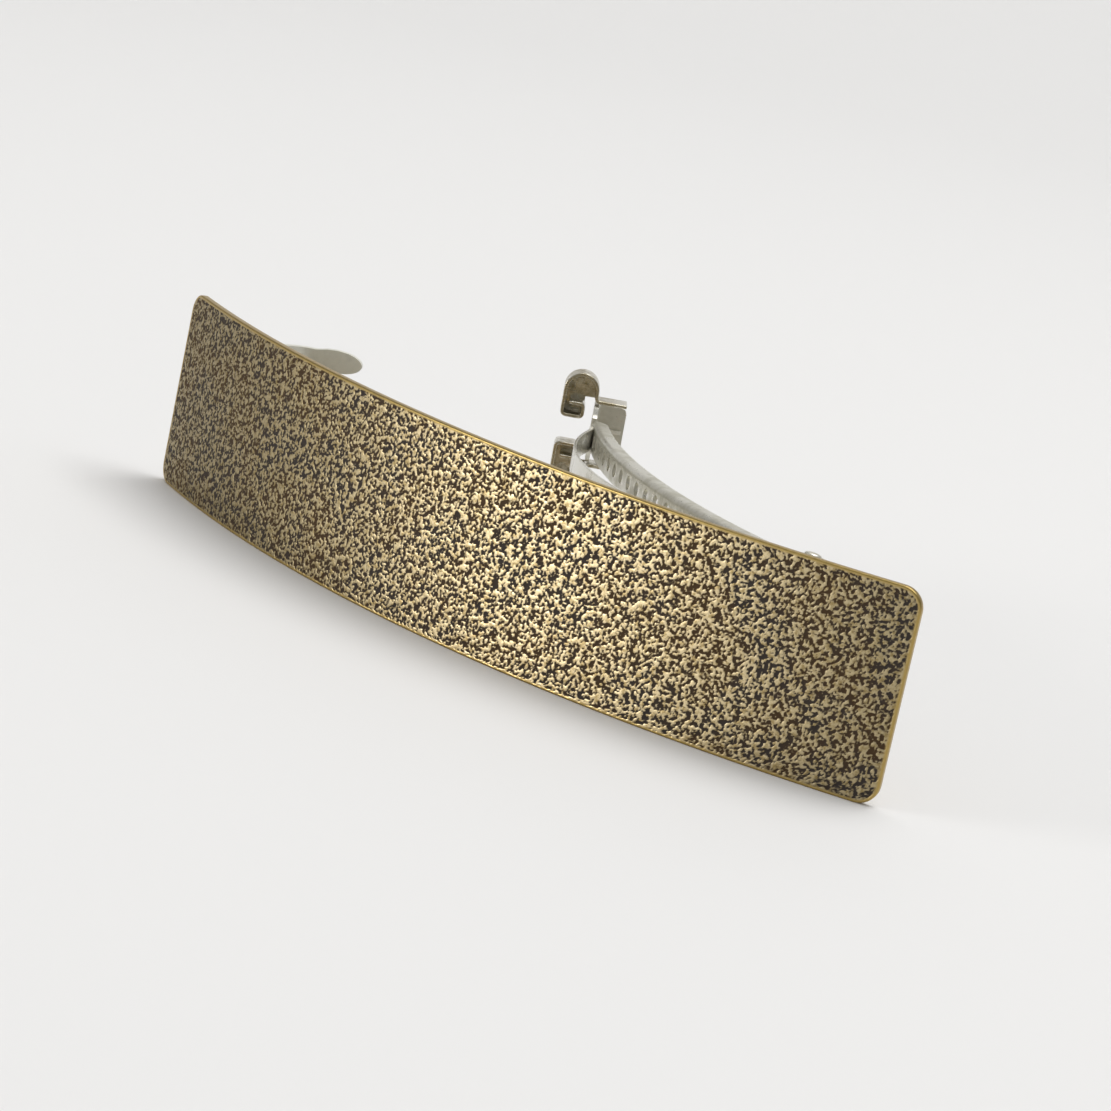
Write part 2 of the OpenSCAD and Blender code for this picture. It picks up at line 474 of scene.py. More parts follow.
@dataclass(frozen=True)
class Finish:
    """What every finish shares: a name and a way to get its material."""

    name: str

    def material(self) -> bpy.types.Material:
        """The finish's material, built once.

        Returns:
            The material.
        """
        made = bpy.data.materials.get(self.name)
        if made:
            return made
        made = bpy.data.materials.new(self.name)
        made.use_nodes = True
        made.node_tree.nodes.clear()
        wiring = Wiring(made.node_tree)
        shader = wiring.add("BsdfPrincipled")
        wiring.join(shader.outputs[0], wiring.add("OutputMaterial").inputs["Surface"])
        self.dress(wiring, shader)
        return made

    def dress(self, wiring: Wiring, shader: Node) -> None:
        """Wires the finish; each kind of finish has its own way."""
        raise NotImplementedError(self.name)

    @staticmethod
    def raise_surface(
        wiring: Wiring, shader: Node, height: Socket, strength: float, depth: float
    ) -> None:
        """Adds a bump.

        Args:
            wiring: The material's wiring.
            shader: The shader that takes the bump.
            height: The height's socket.
            strength: How strong the bump is.
            depth: The height of a full step, in metres.
        """
        bump = wiring.add("Bump")
        bump.inputs["Strength"].default_value = strength
        bump.inputs["Distance"].default_value = depth
        wiring.join(height, bump.inputs["Height"])
        wiring.join(bump.outputs[0], shader.inputs["Normal"])


@dataclass(frozen=True)
class NetBrass(Finish):
    """Blackened brass whose raised net was polished bright again, with a painted highlight along
    the crests.
    """

    crest: Colour = (0.91, 0.75, 0.46)
    crest_warm: Colour = (0.50, 0.37, 0.17)
    dull: Colour = (0.115, 0.09, 0.038)
    slate: Colour = (0.036, 0.028, 0.023)
    umber: Colour = (0.058, 0.032, 0.012)
    rim: Colour = (0.42, 0.30, 0.105)

    def dress(self, wiring: Wiring, shader: Node) -> None:
        """Wires the net, its colours and its small glints.

        Args:
            wiring: The material's wiring.
            shader: The material's shader.
        """
        names = ("net", "rim", "rub")
        net, rim, rub = (wiring.add("Attribute", attribute_name=n).outputs["Fac"] for n in names)
        grain = GRAIN.place(wiring, Scale=5200.0, Lines=0.0)
        clouds = CLOUDS.place(wiring, Scale=160.0, Cover=0.5)
        # Random specks on the crests: partly tone and roughness the brass has, partly painted
        # glints as brighter and darker spots in the gold.
        specks_and_glints = CLOUDS.place(wiring, Scale=2300.0, Cover=0.45)
        lowered = wiring.maths("SUBTRACT", net, 0.11)
        ragged = wiring.maths("MULTIPLY_ADD", grain.outputs["Height"], 0.22, lowered)
        bright = wiring.ramp(ragged, 0.34, 0.71)
        dark = wiring.mix(clouds.outputs["Mask"], self.slate, self.umber)
        gold = wiring.mix(specks_and_glints.outputs["Mask"], self.crest, self.crest_warm)
        # Painted highlight and shade: near the bright band along the plate the crests keep their
        # gold, away from it they are mixed towards a painted shaded colour.
        gold = wiring.mix(rub, wiring.mix(0.72, gold, self.dull), gold)
        skin = wiring.mix(bright, dark, gold)
        wiring.join(wiring.mix(rim, skin, self.rim), shader.inputs["Base Color"])
        bare = wiring.ramp(wiring.maths("ADD", bright, rim), 0.0, 1.0, (0.25, 1.0))
        wiring.join(bare, shader.inputs["Metallic"])
        shader.inputs["Specular IOR Level"].default_value = 0.2
        rough = wiring.ramp(bright, 0.0, 1.0, (0.62, 0.36))
        rough = wiring.maths("MULTIPLY_ADD", specks_and_glints.outputs["Mask"], 0.10, rough)
        wiring.join(wiring.maths("MULTIPLY_ADD", rim, -0.06, rough), shader.inputs["Roughness"])
        step = wiring.maths("MULTIPLY_ADD", grain.outputs["Height"], 0.35, bright)
        self.raise_surface(wiring, shader, step, 0.5, 0.00003)


@dataclass(frozen=True)
class AgedBrass(Finish):
    """The plain back of the plate: darkened brass with drawn hairlines."""

    clean: Colour = (0.50, 0.38, 0.18)
    aged: Colour = (0.41, 0.30, 0.14)
    stain: Colour = (0.17, 0.12, 0.065)

    def dress(self, wiring: Wiring, shader: Node) -> None:
        """Wires the clouds, stains and hairlines.

        Args:
            wiring: The material's wiring.
            shader: The material's shader.
        """
        clouds = CLOUDS.place(wiring, Scale=110.0, Cover=0.6)
        stains = CLOUDS.place(wiring, Scale=420.0, Cover=0.08)
        grain = GRAIN.place(wiring, Scale=4200.0, Lines=0.9)
        colour = wiring.mix(clouds.outputs["Mask"], self.clean, self.aged)
        colour = wiring.mix(stains.outputs["Mask"], colour, self.stain)
        wiring.join(colour, shader.inputs["Base Color"])
        bare = wiring.ramp(stains.outputs["Mask"], 0.0, 1.0, (1.0, 0.6))
        wiring.join(bare, shader.inputs["Metallic"])
        rough = wiring.ramp(clouds.outputs["Mask"], 0.0, 1.0, (0.30, 0.46))
        rough = wiring.maths("MULTIPLY_ADD", grain.outputs["Rub"], 0.14, rough)
        wiring.join(rough, shader.inputs["Roughness"])
        self.raise_surface(wiring, shader, grain.outputs["Height"], 0.35, 0.00001)


@dataclass(frozen=True)
class Nickel(Finish):
    """Nickel plating that has been handled: hairlines, haze and warm stains."""

    plate: Colour = (0.62, 0.60, 0.52)
    haze: Colour = (0.52, 0.50, 0.41)
    dirt: Colour = (0.12, 0.105, 0.070)
    bare: Colour = (0.80, 0.78, 0.70)
    rough: float = 0.24
    cover: float = 0.5
    metal: float = 0.78

    def dress(self, wiring: Wiring, shader: Node) -> None:
        """Wires the haze, the darkening in the hollows and the bright edges.

        Args:
            wiring: The material's wiring.
            shader: The material's shader.
        """
        haze = CLOUDS.place(wiring, Scale=330.0, Cover=self.cover)
        grain = GRAIN.place(wiring, Scale=6500.0, Lines=0.8)
        wear = WEAR.place(wiring, Scale=1600.0, Amount=0.7)
        colour = wiring.mix(haze.outputs["Mask"], self.plate, self.haze)
        # Darker in the hollows, found by pointiness.
        colour = wiring.mix(wiring.maths("MULTIPLY", wear.outputs["Dirt"], 0.7), colour, self.dirt)
        colour = wiring.mix(wear.outputs["Wear"], colour, self.bare)
        wiring.join(colour, shader.inputs["Base Color"])
        shader.inputs["Metallic"].default_value = self.metal
        rough = wiring.ramp(haze.outputs["Mask"], 0.0, 1.0, (self.rough, self.rough + 0.16))
        rough = wiring.maths("MULTIPLY_ADD", grain.outputs["Rub"], 0.10, rough)
        rough = wiring.maths("MULTIPLY_ADD", wear.outputs["Wear"], -0.08, rough)
        wiring.join(rough, shader.inputs["Roughness"])
        self.raise_surface(wiring, shader, grain.outputs["Height"], 0.25, 0.000006)


@dataclass(frozen=True)
class CuredGlue(Finish):
    """Clear adhesive that has yellowed, with dust and tiny bubbles in it."""

    clear: Colour = (0.62, 0.55, 0.36)
    dust: Colour = (0.40, 0.34, 0.22)

    def dress(self, wiring: Wiring, shader: Node) -> None:
        """Wires the tint, the bubbles and the dusty patches.

        Args:
            wiring: The material's wiring.
            shader: The material's shader.
        """
        dust = CLOUDS.place(wiring, Scale=700.0, Cover=0.45)
        bubbles = GRAIN.place(wiring, Scale=3800.0, Lines=0.0)
        tint = wiring.mix(dust.outputs["Mask"], self.clear, self.dust)
        wiring.join(tint, shader.inputs["Base Color"])
        rough = wiring.ramp(dust.outputs["Mask"], 0.0, 1.0, (0.18, 0.5))
        wiring.join(rough, shader.inputs["Roughness"])
        shader.inputs["Subsurface Weight"].default_value = 0.15
        shader.inputs["Subsurface Scale"].default_value = 0.0005
        self.raise_surface(wiring, shader, bubbles.outputs["Height"], 0.4, 0.00003)


@dataclass(frozen=True)
class PaleFloor(Finish):
    """A plain pale table."""

    tone: Colour = (0.80, 0.79, 0.775)

    def dress(self, wiring: Wiring, shader: Node) -> None:
        """Sets the plain tone."""
        shader.inputs["Base Color"].default_value = (*self.tone, 1.0)
        shader.inputs["Roughness"].default_value = 0.75


NET_BRASS = NetBrass("net_brass")
AGED_BRASS = AgedBrass("aged_brass")
NICKEL = Nickel("worn_nickel")
SPRING_NICKEL = Nickel("spring_nickel", plate=(0.68, 0.66, 0.58), rough=0.16, cover=0.35)
# Painted shade: a darker, browner copy of the nickel for the jaws, whose insides lie in shade.
SHADED_JAW_NICKEL = Nickel(
    "jaw_nickel",
    plate=(0.42, 0.37, 0.25),
    haze=(0.27, 0.225, 0.12),
    dirt=(0.06, 0.045, 0.015),
    rough=0.15,
    metal=0.95,
)
# Painted light: a paler, more diffuse copy of the nickel for the lit tongue.
LIT_TONGUE_NICKEL = Nickel(
    "tongue_nickel", plate=(0.74, 0.74, 0.66), haze=(0.64, 0.64, 0.56), rough=0.38, metal=0.4
)
PIN_NICKEL = Nickel("pin_nickel", plate=(0.58, 0.55, 0.47), rough=0.26, cover=0.6)
GLUE = CuredGlue("cured_glue")
FLOOR = PaleFloor("pale_floor")


# ------------------------------------------------------------- mesh building


def shown(name: str, data: bpy.types.ID) -> bpy.types.Object:
    """Puts a new object into the scene.

    Args:
        name: The object's name.
        data: Its mesh, light or camera.

    Returns:
        The object.
    """
    made = bpy.data.objects.new(name, data)
    bpy.context.scene.collection.objects.link(made)
    return made


@dataclass
class Piece:
    """One mesh piece on its way into the scene."""

    name: str
    points: Points
    faces: Faces
    finishes: tuple[Finish, ...]
    body: Body
    slot: Slot
    stands_for: tuple[str, ...]
    finish_of_face: Sequence[int] | None = None
    values: dict[str, Points] = field(default_factory=dict)
    edge: float = 0.0
    outward: bool = True

    def make(self) -> bpy.types.Object:
        """Makes the object and puts it on its body.

        Returns:
            The new object.
        """
        mesh = bpy.data.meshes.new(self.name)
        points = np.asarray(self.points, float) * MM
        mesh.from_pydata(points.tolist(), [], self.faces)
        if self.outward:
            turn_outward(mesh)
        mesh.polygons.foreach_set("use_smooth", np.ones(len(mesh.polygons), bool))
        for finish in self.finishes:
            mesh.materials.append(finish.material())
        if self.finish_of_face is not None:
            marks = np.asarray(self.finish_of_face, np.int32)
            mesh.polygons.foreach_set("material_index", marks)
        for name, values in self.values.items():
            spot = mesh.attributes.new(name, "FLOAT", "POINT")
            spot.data.foreach_set("value", np.asarray(values, np.float32))
        mesh.validate()
        mesh.update()
        made = shown(self.name, mesh)
        if self.edge:
            round_edges(made, self.edge)
        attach(made, self.body.value)
        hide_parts(*self.stands_for)
        size = (len(points), len(self.faces))
        LOG.info("%s: %d points, %d faces, on %s", self.name, *size, self.body.value)
        return made


def steel(
    name: str,
    shell: Shell,
    finishes: tuple[Finish, ...],
    body: Body,
    node: str,
    edge: float = 0.0,
    marks: Sequence[int] | None = None,
) -> bpy.types.Object:
    """Makes a piece of plated steel that stands for one solid, with rounded edges."""
    return Piece(name, *shell, finishes, body, Slot.STEEL, (node,), marks, edge=edge).make()


def turn_outward(mesh: bpy.types.Mesh) -> None:
    """Turns every face of the mesh's closed shells to the outside.

    Args:
        mesh: The mesh.
    """
    work = bmesh.new()
    work.from_mesh(mesh)
    bmesh.ops.recalc_face_normals(work, faces=work.faces)
    work.to_mesh(mesh)
    work.free()


def round_edges(piece: bpy.types.Object, width: float) -> None:
    """Rounds a sheet-metal piece's edges.

    Args:
        piece: The piece.
        width: Width of the rounding, in millimetres.
    """
    bevel = piece.modifiers.new("rounded_edges", "BEVEL")
    bevel.width = width * MM
    bevel.segments = 3
    bevel.limit_method = "ANGLE"
    bevel.angle_limit = math.radians(38.0)
    bevel.use_clamp_overlap = True
    bevel.harden_normals = True


def ribbon(
    path: Points, thick: float, width: float, at: Matrix, narrow: Sequence[float] | None = None
) -> Shell:
    """A bent sheet: a path in the frame's XY plane, given thickness and width.

    Args:
        path: Points of the sheet's middle line.
        thick: The sheet's thickness.
        width: Its width, along the frame's Z.
        at: The frame the path lies in.
        narrow: Share of the width at each point, to shape the ends.

    Returns:
        Points and faces.
    """
    path = np.asarray(path, float)
    way = np.gradient(path, axis=0)
    way /= np.linalg.norm(way, axis=1)[:, None]
    side = np.stack([-way[:, 1], way[:, 0]], axis=1)
    share = np.ones(len(path)) if narrow is None else np.asarray(narrow, float)
    points = []
    for spot, off, part in zip(path, side, share):
        for out, up in ((0.5, -0.5), (0.5, 0.5), (-0.5, 0.5), (-0.5, -0.5)):
            flat = spot + off * thick * out
            points.append(at @ Vector((flat[0], flat[1], up * width * part)))
    faces: Faces = []
    for i in range(len(path) - 1):
        a, b = 4 * i, 4 * i + 4
        for k in range(4):
            n = (k + 1) % 4
            faces.append((a + k, a + n, b + n, b + k))
    last = 4 * (len(path) - 1)
    faces += [(3, 2, 1, 0), (last, last + 1, last + 2, last + 3)]
    return np.array(points), faces


def turned(profile: Outline, at: Matrix, sides: int = 40) -> Shell:
    """A turned solid about the frame's Z.

    Args:
        profile: (radius, height) pairs; the first and the last lie on the axis.
        at: The frame.
        sides: Points round each ring.

    Returns:
        Points and faces.
    """
    points = [at @ Vector((0.0, 0.0, profile[0][1]))]
    for radius, height in profile[1:-1]:
        for k in range(sides):
            angle = 2.0 * math.pi * k / sides
            points.append(at @ Vector((radius * math.cos(angle), radius * math.sin(angle), height)))
    points.append(at @ Vector((0.0, 0.0, profile[-1][1])))
    rings, last = len(profile) - 2, len(points) - 1
    faces: Faces = []
    for k in range(sides):
        n = (k + 1) % sides
        faces.append((0, 1 + n, 1 + k))
        for ring in range(rings - 1):
            a, b = 1 + ring * sides, 1 + (ring + 1) * sides
            faces.append((a + k, a + n, b + n, b + k))
        top = 1 + (rings - 1) * sides
        faces.append((top + k, top + n, last))
    return np.array(points), faces


def joined(*shells: Shell) -> Shell:
    """Puts closed shells together as one mesh.

    Args:
        shells: The shells' points and faces.

    Returns:
        The points and faces of all of them.
    """
    points, faces, count = [], [], 0
    for shell_points, shell_faces in shells:
        points.append(np.asarray(shell_points, float))
        faces += [tuple(v + count for v in face) for face in shell_faces]
        count += len(shell_points)
    return np.concatenate(points), faces


def moved(at: Matrix, x: Points, y: Points, z: Points) -> Points:
    """Takes coordinates in a frame to the row frame.

    Args:
        at: The frame.
        x: First coordinates.
        y: Second coordinates.
        z: Third coordinates.

    Returns:
        Positions, one row each.
    """
    whole = np.array(at)
    spots = np.stack(np.broadcast_arrays(x, y, z), axis=-1)
    return spots @ whole[:3, :3].T + whole[:3, 3]


def slab(outline: Outline, thick: float, at: Matrix) -> Shell:
    """A flat blank with a given outline.

    Args:
        outline: Points in the frame's XY plane, in order.
        thick: Its thickness, along the frame's Z.
        at: The frame; the blank lies on its XY plane.

    Returns:
        Points and faces.
    """
    flat, n = np.array(outline, float), len(outline)
    points = np.concatenate([moved(at, flat[:, 0], flat[:, 1], z) for z in (0.0, thick)])
    faces: Faces = [tuple(range(n)), tuple(range(2 * n - 1, n - 1, -1))]
    faces += [(k, k + n, (k + 1) % n + n, (k + 1) % n) for k in range(n)]
    return points, faces


@dataclass
class Fold:
    """A folded sheet's middle line, followed by the distance along it."""

    path: Points
    lengths: Points = field(init=False)
    near: float = 0.02

    def __post_init__(self) -> None:
        """Measures the distance to each point of the line."""
        steps = np.linalg.norm(np.diff(self.path, axis=0), axis=1)
        self.lengths = np.concatenate([[0.0], np.cumsum(steps)])

    def at(self, along: Points, out: float) -> tuple[Points, Points]:
        """Points beside the line.

        Args:
            along: Distances along the line.
            out: Step off the line, to its left.

        Returns:
            The two coordinates in the line's plane.
        """
        (x, y), (x1, y1), (x0, y0) = (
            [np.interp(along + step, self.lengths, self.path[:, k]) for k in (0, 1)]
            for step in (0.0, self.near, -self.near)
        )
        size = np.hypot(x1 - x0, y1 - y0)
        return x - out * (y1 - y0) / size, y + out * (x1 - x0) / size


@dataclass
class CutSheet:
    """A flat pattern of quads, before it is folded and given its thickness."""

    spots: list[tuple[float, float]] = field(default_factory=list)
    faces: Faces = field(default_factory=list)
    marks: dict[tuple[int, int], int] = field(default_factory=dict)
    steps_per_mm: int = 4000
    shares: Triple = (1.0, 0.4, 0.0)
    near: float = 1e-4

    def spot(self, x: float, c: float) -> int:
        """Finds the point at a place, and makes it if it is new.

        Args:
            x: Place along the sheet.
            c: Place across it.

        Returns:
            The point's number.
        """
        key = (round(x * self.steps_per_mm), round(c * self.steps_per_mm))
        if key not in self.marks:
            self.marks[key] = len(self.spots)
            self.spots.append((x, c))
        return self.marks[key]

    def grid(
        self, xs: Sequence[float], cs: Sequence[float], cut: Callable[[float, float], bool]
    ) -> None:
        """Fills a grid of lines with quads.

        Args:
            xs: Places of the lines along the sheet.
            cs: Places of the lines across it.
            cut: Says where the middle of a quad is cut away.
        """
        for x0, x1 in zip(xs[:-1], xs[1:]):
            for c0, c1 in zip(cs[:-1], cs[1:]):
                if not cut((x0 + x1) / 2, (c0 + c1) / 2):
                    corners = ((x0, c0), (x1, c0), (x1, c1), (x0, c1))
                    self.faces.append(tuple(self.spot(x, c) for x, c in corners))

    def hole(
        self,
        x: float,
        half: float,
        c_half: float,
        xs: Sequence[float],
        cs: Sequence[float],
        radius: float,
    ) -> None:
        """Fills a cell of the grid round a punched hole.

        Args:
            x: The hole's place along the sheet.
            half: Half the cell's length.
            c_half: Half its width.
            xs: The grid's lines along the sheet.
            cs: The grid's lines across it.
            radius: The hole's radius.
        """
        wide = sorted({round(v, 6) for v in xs if abs(v - x) <= half + self.near})
        tall = [v for v in cs if abs(v) <= c_half + self.near]
        border = [(a, tall[0]) for a in wide[:-1]] + [(wide[-1], b) for b in tall[:-1]]
        border += [(a, tall[-1]) for a in wide[:0:-1]] + [(wide[0], b) for b in tall[:0:-1]]
        rings = []
        for share in self.shares:
            ring = []
            for a, b in border:
                angle = math.atan2(b, a - x)
                step = radius * math.cos(angle) * (1 - share) + (a - x) * share
                ring.append(self.spot(x + step, radius * math.sin(angle) * (1 - share) + b * share))
            rings.append(ring)
        for outer, inner in zip(rings[:-1], rings[1:]):
            for k in range(len(border)):
                n = (k + 1) % len(border)
                self.faces.append((outer[k], outer[n], inner[n], inner[k]))

    def solid(self, place: Callable[[Points, Points, float], Points], thick: float) -> Shell:
        """Folds the pattern and gives it thickness.

        Args:
            place: Takes places along and across, and a step off the middle, to positions.
            thick: The sheet's thickness.

        Returns:
            Points and faces of the closed sheet.
        """
        flat = np.array(self.spots)
        count = len(flat)
        points = np.concatenate([place(flat[:, 0], flat[:, 1], k * thick / 2) for k in (1, -1)])
        faces = list(self.faces) + [tuple(count + v for v in reversed(face)) for face in self.faces]
        sides = {(face[k], face[(k + 1) % 4]) for face in self.faces for k in range(4)}
        faces += [(b, a, count + a, count + b) for a, b in sorted(sides) if (b, a) not in sides]
        return points, faces


# ---------------------------------------------------------------- the pieces


@dataclass
class FacePlate:
    """The bent brass plate, its front pressed with an irregular raised net."""

    bend: Bend = Bend()
    length: float = 100.0
    height: float = 20.0
    thick: float = 0.8
    corner: float = 2.0
    edge: float = 0.16
    relief: float = 0.05
    rim: float = 0.22
    columns: int = 776
    arc_rows: int = 20
    straight_rows: int = 124
    net_size: float = 0.68
    layers: tuple[Triple, ...] = (
        (1.0, 1.0, 0.45),
        (0.95, 0.48, 0.35),
        (0.95, 0.26, 0.40),
        (0.38, 2.0, 0.40),
    )
    sheet_cells: tuple[int, int] = (1440, 360)
    cell: float = 0.075
    pit: tuple[float, float] = (0.25, 0.62)
    rim_net: float = 0.85
    turns: tuple[float, ...] = (22.5, 45.0, 67.5, 90.0)
    back_step: int = 4
    # Middle and reach of the painted highlight band along the plate, in millimetres.
    rubbed_at: float = 14.0
    rubbed_reach: float = 26.0
    seed: int = 11

    def net(self, along: Points, up: Points) -> Points:
        """The pressed net, from 0 in the pits to 1 on the crests.

        Args:
            along: Distance along the bend.
            up: Height above the lower edge.

        Returns:
            Evenly spread values, the same shape as the inputs.
        """
        (across, tall), cell = self.sheet_cells, self.cell
        dice = np.random.default_rng(self.seed)
        waves = np.fft.rfft2(dice.standard_normal((tall, across)))
        fx = np.fft.rfftfreq(across, cell)[None, :]
        fz = np.fft.fftfreq(tall, cell)[:, None]
        pitch = np.hypot(fx, fz) * self.net_size + 1e-9
        band = sum(k * np.exp(-(np.log(pitch / f) ** 2) / (2 * w**2)) for k, f, w in self.layers)
        sheet = np.fft.irfft2(waves * band, s=(tall, across))
        order = sheet.ravel().argsort().argsort() / sheet.size
        even = order.reshape(sheet.shape)
        x = (np.asarray(along) + self.length / 2) / cell
        z = np.asarray(up) / cell + 10.0
        x0, z0 = np.floor(x).astype(int), np.floor(z).astype(int)
        tx, tz = x - x0, z - z0
        x0, x1, z0, z1 = x0 % across, (x0 + 1) % across, z0 % tall, (z0 + 1) % tall
        low = even[z0, x0] * (1 - tx) + even[z0, x1] * tx
        high = even[z1, x0] * (1 - tx) + even[z1, x1] * tx
        return low * (1 - tz) + high * tz

    def rows(self) -> tuple[Points, Points]:
        """Heights of the rows and the half length of each.

        Returns:
            Heights from the middle, and half lengths.
        """
        top, wide = self.height / 2 - self.edge, self.length / 2 - self.edge
        round_ = self.corner - self.edge
        turn = np.linspace(0.0, math.pi / 2, self.arc_rows + 1)[:-1]
        arc = -top + round_ * (1 - np.cos(turn))
        flat = np.linspace(-(top - round_), top - round_, self.straight_rows + 1)
        up = np.concatenate([arc, flat, -arc[::-1]])
        over = np.clip(np.abs(up) - (top - round_), 0.0, round_)
        return up, wide - round_ + np.sqrt(np.maximum(round_**2 - over**2, 0.0))

    def loop(self, across: int, tall: int) -> tuple[list[tuple[int, int]], Points]:
        """The border of the grid, and the way out of the plate at each point.

        Args:
            across: Number of columns of points.
            tall: Number of rows of points.

        Returns:
            Grid places in order, and outward directions (along, up).
        """
        quarter = np.linspace(0.0, math.pi / 2, self.arc_rows + 1)
        rise = np.full(tall, math.pi / 2)
        rise[: self.arc_rows + 1] = quarter
        rise[-self.arc_rows - 1 :] = math.pi - quarter[::-1]
        places = [(0, i) for i in range(across - 1)] + [(j, across - 1) for j in range(tall - 1)]
        places += [(tall - 1, i) for i in range(across - 1, 0, -1)]
        places += [(j, 0) for j in range(tall - 1, 0, -1)]
        outward = []
        for j, i in places:
            if 0 < i < across - 1:
                outward.append((0.0, -1.0 if j == 0 else 1.0))
            else:
                outward.append((math.sin(rise[j]) * (1.0 if i else -1.0), -math.cos(rise[j])))
        return places, np.array(outward)

    def rubbed(self, along: Points) -> Points:
        """Painted highlight on the crests, from 0 to 1, by distance along the bend; away from it
        the crests get painted shade.
        """
        return np.exp(-(((along - self.rubbed_at) / self.rubbed_reach) ** 2))

    def build(self) -> bpy.types.Object:
        """Makes the plate: the net in front, a rounded edge and a smooth back.

        Returns:
            The plate.
        """
        up, half = self.rows()
        across, tall = self.columns + 1, len(up)
        along = np.linspace(-1.0, 1.0, across)[None, :] * half[:, None]
        rise = np.repeat(up[:, None], across, axis=1)
        net = self.net(along, rise + self.height / 2)
        round_ = self.corner - self.edge
        dx = np.abs(along) - (self.length / 2 - self.edge - round_)
        dz = np.abs(rise) - (self.height / 2 - self.edge - round_)
        inward = round_ - np.where((dx > 0) & (dz > 0), np.hypot(dx, dz), np.maximum(dx, dz))
        inside = smooth(0.0, self.rim, inward)
        sunk = self.relief * (1 - smooth(*self.pit, net)) * inside
        front = self.bend.place(along, -self.thick / 2 + sunk, rise + self.height / 2)

        places, outward = self.loop(across, tall)
        spots = np.array([(along[p], rise[p]) for p in places])
        points = [front.reshape(-1, 3)]
        nets = [(net * inside + self.rim_net * (1 - inside)).ravel()]
        rims, sheens = [1 - inside.ravel()], [self.rubbed(along).ravel()]
        loops = [[j * across + i for j, i in places]]
        turns = [math.radians(a) for a in self.turns]
        steps = [(math.sin(t), -self.thick / 2 + self.edge * (1 - math.cos(t))) for t in turns]
        steps += [(s, -o) for s, o in reversed(steps)] + [(0.0, self.thick / 2)]
        count = front.shape[0] * front.shape[1]
        for out, depth in steps:
            ring = spots + outward * self.edge * out
            points.append(self.bend.place(ring[:, 0], depth, ring[:, 1] + self.height / 2))
            loops.append(list(range(count, count + len(ring))))
            nets.append(np.full(len(ring), self.rim_net))
            rims.append(np.ones(len(ring)))
            sheens.append(self.rubbed(ring[:, 0]))
            count += len(ring)

        grid = np.arange(across * tall).reshape(tall, across)
        cells = np.stack([grid[:-1, :-1], grid[:-1, 1:], grid[1:, 1:], grid[1:, :-1]], axis=-1)
        faces: Faces = [tuple(c) for c in cells.reshape(-1, 4).tolist()]
        for near, far in zip(loops[:-1], loops[1:]):
            for k in range(len(near)):
                n = (k + 1) % len(near)
                faces.append((near[n], near[k], far[k], far[n]))
        skins = [0] * len(faces)
        back_points, back_faces = self.back(along, rise, places, loops[-1], count)
        points.append(back_points)
        faces += back_faces
        skins += [1] * len(back_faces)
        nets.append(np.full(len(back_points), self.rim_net))
        rims.append(np.ones(len(back_points)))
        sheens.append(np.ones(len(back_points)))
        named = (("net", nets), ("rim", rims), ("rub", sheens))
        values = {name: np.concatenate(parts) for name, parts in named}
        return Piece(
            "plate_sheet",
            np.concatenate(points),
            faces,
            (NET_BRASS, AGED_BRASS),
            Body.HOLDER,
            Slot.BRASS,
            ("face_plate",),
            skins,
            values,
            outward=False,
        ).make()

    def back(
        self,
        along: Points,
        rise: Points,
        places: list[tuple[int, int]],
        border: list[int],
        count: int,
    ) -> Shell:
        """The smooth back, four times coarser than the front.

        Args:
            along: The fine grid's distances along the bend.
            rise: The fine grid's heights from the middle.
            places: Grid places of the border, in order.
            border: Point numbers of the back's border.
            count: Number of points made so far.

        Returns:
            New points and faces.
        """
        step = self.back_step
        tall, across = along.shape
        number = {place: mark for place, mark in zip(places, border)}
        spots = []
        for j in range(step, tall - 1, step):
            for i in range(step, across - 1, step):
                number[(j, i)] = count + len(spots)
                spots.append((along[j, i], rise[j, i]))
        faces: Faces = []
        for j in range(0, tall - 1, step):
            for i in range(0, across - 1, step):
                j1, i1 = j + step, i + step
                path = [(j, i + k) for k in range(step)] if j == 0 else [(j, i)]
                path += [(j + k, i1) for k in range(step)] if i1 == across - 1 else [(j, i1)]
                path += [(j1, i1 - k) for k in range(step)] if j1 == tall - 1 else [(j1, i1)]
                path += [(j1 - k, i) for k in range(step)] if i == 0 else [(j1, i)]
                faces.append(tuple(number[p] for p in reversed(path)))
        flat = np.array(spots)
        return self.bend.place(flat[:, 0], self.thick / 2, flat[:, 1] + self.height / 2), faces


